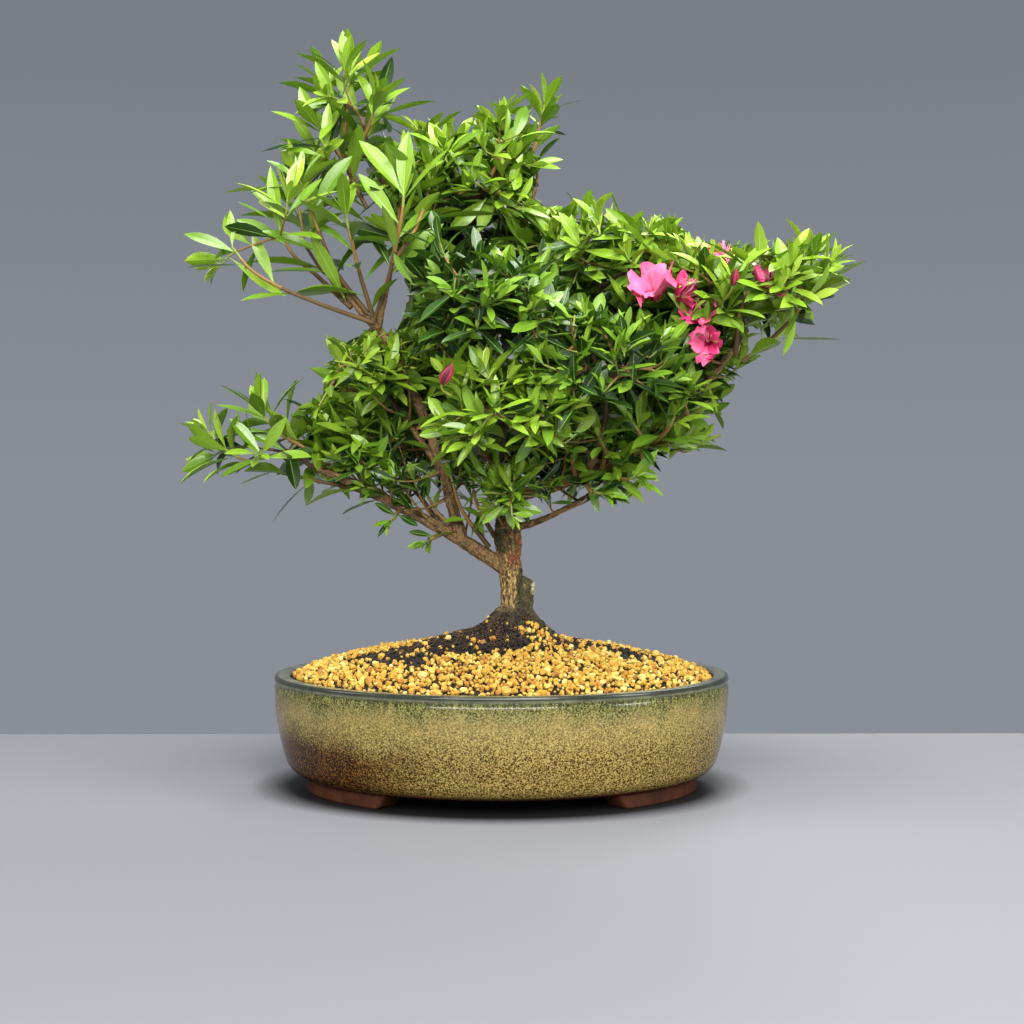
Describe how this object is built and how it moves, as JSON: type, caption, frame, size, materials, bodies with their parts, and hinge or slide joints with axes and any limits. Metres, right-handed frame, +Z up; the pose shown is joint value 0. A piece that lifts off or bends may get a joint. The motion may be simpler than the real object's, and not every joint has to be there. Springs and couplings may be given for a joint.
{
  "type": "potted azalea bonsai",
  "caption": "Informal azalea bonsai with a flared leaning trunk, tapering boughs, leafy masses and a few pink blossoms, in a low oval glazed pot of gravel on clay feet.",
  "frame": {"origin": "on the floor, under the middle of the oval pot", "axes": "+Z up, +X to the right along the pot's long side, -Y towards the front, the side that the picture shows"},
  "size_m": [0.3615, 0.2133, 0.4143],
  "materials": {
    "glaze": "glossy olive and tan stoneware glaze with fine golden speckle",
    "clay": "bare reddish brown stoneware",
    "gravel": "loose ochre and cream grit, matt",
    "peat": "moist dark peat with fibres",
    "bark": "rough grey-brown bark, fissured, with a green bloom of moss",
    "foliage": "glossy fresh green leaves on thin brown twigs, with pink blossom"
  },
  "bodies": {
    "root": {"pot": "glaze", "gravel": "gravel", "root_ball": "peat", "foot_back_right": "clay", "foot_back_left": "clay", "foot_front_left": "clay", "foot_front_right": "clay", "trunk": "bark", "lower_left_bough": "bark", "upper_left_bough": "bark", "right_outer_bough": "bark", "crown_top_bough": "bark", "left_inner_bough": "bark", "mid_left_bough": "bark", "left_front_bough": "bark", "apex_bough": "bark", "top_shoot_bough": "bark", "shoulder_bough": "bark", "right_lower_bough": "bark", "right_back_bough": "bark", "centre_upper_bough": "bark", "centre_right_bough": "bark", "centre_lower_bough": "bark", "lower_right_bough": "bark", "back_upper_bough": "bark", "back_right_bough": "bark", "back_left_bough": "bark", "back_lower_bough": "bark", "lower_left_foliage": "foliage", "upper_left_foliage": "foliage", "right_outer_foliage": "foliage", "crown_top_foliage": "foliage", "left_inner_foliage": "foliage", "mid_left_foliage": "foliage", "left_front_foliage": "foliage", "apex_foliage": "foliage", "top_shoot_foliage": "foliage", "shoulder_foliage": "foliage", "right_lower_foliage": "foliage", "right_back_foliage": "foliage", "centre_upper_foliage": "foliage", "centre_right_foliage": "foliage", "centre_lower_foliage": "foliage", "lower_right_foliage": "foliage", "back_upper_foliage": "foliage", "back_right_foliage": "foliage", "back_left_foliage": "foliage", "back_lower_foliage": "foliage", "trunk_sprig_foliage": "foliage"}
  },
  "joints": []
}
